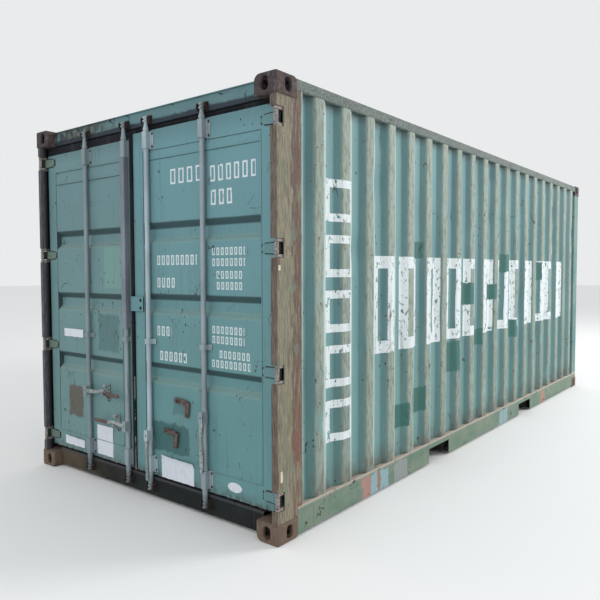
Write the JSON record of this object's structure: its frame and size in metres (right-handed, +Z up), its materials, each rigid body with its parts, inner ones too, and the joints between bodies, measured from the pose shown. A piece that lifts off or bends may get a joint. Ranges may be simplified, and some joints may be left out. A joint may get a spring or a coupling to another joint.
{
  "type": "shipping container",
  "caption": "Corrugated steel freight box with hinged double doors at one end, turning lock rods with handles, slotted corner castings and fork pockets.",
  "frame": {"origin": "on the ground, at the middle of the footprint", "axes": "+X from the door end to the closed end, +Y to the left as one faces the doors, +Z up"},
  "size_m": [6.058, 2.438, 2.591],
  "materials": {
    "casting": "rusted cast steel",
    "post_paint": "paint worn to brown rust",
    "frame_paint": "weathered matt paint",
    "wall_paint": "faded matt paint",
    "door_paint": "faded matt paint",
    "roof_paint": "weathered matt paint",
    "floor_wood": "worn varnished plywood",
    "underframe_paint": "dark underbody paint",
    "hinge_steel": "worn steel",
    "keeper_steel": "rusted forging",
    "galvanised": "dull galvanised",
    "gasket_rubber": "matt rubber"
  },
  "bodies": {
    "container": {"bottom_side_rail_left": "frame_paint", "bottom_side_rail_right": "frame_paint", "cam_keepers": "keeper_steel", "corner_castings_bottom": "casting", "corner_castings_top": "casting", "cross_members": "underframe_paint", "door_header": "frame_paint", "door_post_left": "post_paint", "door_post_right": "post_paint", "door_sill": "frame_paint", "floor_boards": "floor_wood", "fork_pocket_sides": "underframe_paint", "fork_pocket_tops": "underframe_paint", "front_bottom_rail": "frame_paint", "front_post_left": "frame_paint", "front_post_right": "frame_paint", "front_top_rail": "frame_paint", "front_wall": "wall_paint", "hinge_lugs": "hinge_steel", "roof_panel": "roof_paint", "side_wall_left": "wall_paint", "side_wall_right": "wall_paint", "top_side_rail_left": "frame_paint", "top_side_rail_right": "frame_paint"},
    "door_left": {"door_frame_left": "door_paint", "door_panel_left": "door_paint", "door_gasket_left": "gasket_rubber", "hinge_blades_left": "door_paint", "rod_brackets_left": "galvanised", "handle_catches_left": "galvanised", "rod_guard": "galvanised"},
    "door_right": {"door_frame_right": "door_paint", "door_panel_right": "door_paint", "door_gasket_right": "gasket_rubber", "hinge_blades_right": "door_paint", "rod_brackets_right": "galvanised", "handle_catches_right": "galvanised", "overlap_plate": "door_paint"},
    "rod_1": {"lock_rod_1": "galvanised"},
    "handle_1": {"rod_handle_1": "galvanised"},
    "rod_2": {"lock_rod_2": "galvanised"},
    "handle_2": {"rod_handle_2": "galvanised"},
    "rod_3": {"lock_rod_3": "galvanised"},
    "handle_3": {"rod_handle_3": "galvanised"},
    "rod_4": {"lock_rod_4": "galvanised"},
    "handle_4": {"rod_handle_4": "galvanised"}
  },
  "joints": [
    {"name": "door_left_hinge", "type": "hinge", "parent": "container", "child": "door_left", "pos_m": [-3.009, 1.197, 1.2985], "axis": [0, 0, -1], "range_deg": [0, 265]},
    {"name": "door_right_hinge", "type": "hinge", "parent": "container", "child": "door_right", "pos_m": [-3.009, -1.197, 1.2985], "axis": [0, 0, 1], "range_deg": [0, 265]},
    {"name": "rod_1_turn", "type": "hinge", "parent": "door_left", "child": "rod_1", "pos_m": [-2.991, 0.625, 1.2985], "axis": [0, 0, 1], "range_deg": [-90, 0]},
    {"name": "rod_2_turn", "type": "hinge", "parent": "door_left", "child": "rod_2", "pos_m": [-2.991, 0.166, 1.2985], "axis": [0, 0, -1], "range_deg": [-90, 0]},
    {"name": "rod_3_turn", "type": "hinge", "parent": "door_right", "child": "rod_3", "pos_m": [-2.991, -0.072, 1.2985], "axis": [0, 0, 1], "range_deg": [-90, 0]},
    {"name": "rod_4_turn", "type": "hinge", "parent": "door_right", "child": "rod_4", "pos_m": [-2.991, -0.6, 1.2985], "axis": [0, 0, -1], "range_deg": [-90, 0]},
    {"name": "handle_1_lift", "type": "hinge", "parent": "rod_1", "child": "handle_1", "pos_m": [-3.0225, 0.625, 0.655], "axis": [1, 0, 0], "range_deg": [-25, 0]},
    {"name": "handle_2_lift", "type": "hinge", "parent": "rod_2", "child": "handle_2", "pos_m": [-3.0225, 0.166, 0.458], "axis": [-1, 0, 0], "range_deg": [-25, 0]},
    {"name": "handle_3_lift", "type": "hinge", "parent": "rod_3", "child": "handle_3", "pos_m": [-3.0225, -0.072, 0.434], "axis": [1, 0, 0], "range_deg": [-115, 0]},
    {"name": "handle_4_lift", "type": "hinge", "parent": "rod_4", "child": "handle_4", "pos_m": [-3.0225, -0.6, 0.63], "axis": [-1, 0, 0], "range_deg": [-115, 0]}
  ]
}
